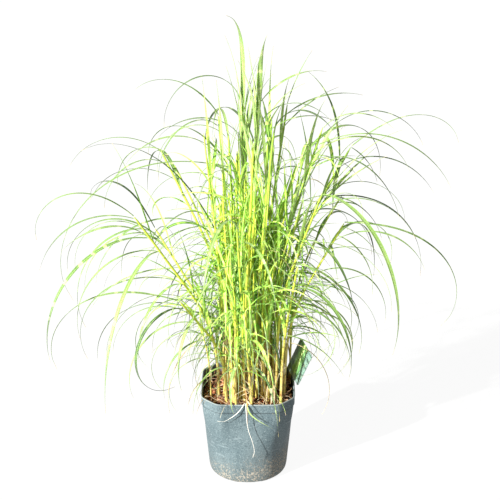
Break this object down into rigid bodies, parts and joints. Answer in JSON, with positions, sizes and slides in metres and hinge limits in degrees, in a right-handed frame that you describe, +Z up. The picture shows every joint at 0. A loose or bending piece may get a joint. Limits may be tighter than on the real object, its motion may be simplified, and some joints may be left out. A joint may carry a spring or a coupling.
{
  "type": "potted ornamental grass",
  "caption": "Clump of banded zebra grass with upright canes and arching leaves, rooted in bark mix in an octagonal nursery pot, with a plant label beside the rim.",
  "frame": {"origin": "middle of the pot's flat base, on the ground", "axes": "+Z up along the pot, +X to the plant's right as seen from the front, -Y out of the pot's front flat"},
  "size_m": [0.8336, 0.7613, 0.9779],
  "materials": {
    "pot_plastic": "matte",
    "bark_mix": "matte",
    "label_card": "satin",
    "cane_green": "satin",
    "leaf_green": "satin"
  },
  "bodies": {
    "root": {"cane_01": "cane_green", "cane_02": "cane_green", "cane_03": "cane_green", "cane_04": "cane_green", "cane_05": "cane_green", "cane_06": "cane_green", "cane_07": "cane_green", "cane_08": "cane_green", "cane_09": "cane_green", "cane_10": "cane_green", "cane_11": "cane_green", "cane_12": "cane_green", "cane_13": "cane_green", "cane_14": "cane_green", "cane_15": "cane_green", "cane_16": "cane_green", "cane_17": "cane_green", "cane_18": "cane_green", "leaf_01_1": "leaf_green", "leaf_01_2": "leaf_green", "leaf_02_1": "leaf_green", "leaf_02_2": "leaf_green", "leaf_02_3": "leaf_green", "leaf_03_1": "leaf_green", "leaf_03_2": "leaf_green", "leaf_03_3": "leaf_green", "leaf_04_1": "leaf_green", "leaf_04_2": "leaf_green", "leaf_05_1": "leaf_green", "leaf_05_2": "leaf_green", "leaf_06_1": "leaf_green", "leaf_06_2": "leaf_green", "leaf_06_3": "leaf_green", "leaf_06_4": "leaf_green", "leaf_06_5": "leaf_green", "leaf_07_1": "leaf_green", "leaf_07_2": "leaf_green", "leaf_07_3": "leaf_green", "leaf_08_1": "leaf_green", "leaf_08_2": "leaf_green", "leaf_08_3": "leaf_green", "leaf_09_1": "leaf_green", "leaf_09_2": "leaf_green", "leaf_10_1": "leaf_green", "leaf_10_2": "leaf_green", "leaf_11_1": "leaf_green", "leaf_12_1": "leaf_green", "leaf_12_2": "leaf_green", "leaf_13_1": "leaf_green", "leaf_13_2": "leaf_green", "leaf_14_1": "leaf_green", "leaf_14_2": "leaf_green", "leaf_15_1": "leaf_green", "leaf_15_2": "leaf_green", "leaf_16_1": "leaf_green", "leaf_17_1": "leaf_green", "leaf_18_1": "leaf_green", "plant_label": "label_card", "pot": "pot_plastic", "potting_mix": "bark_mix"}
  },
  "joints": []
}
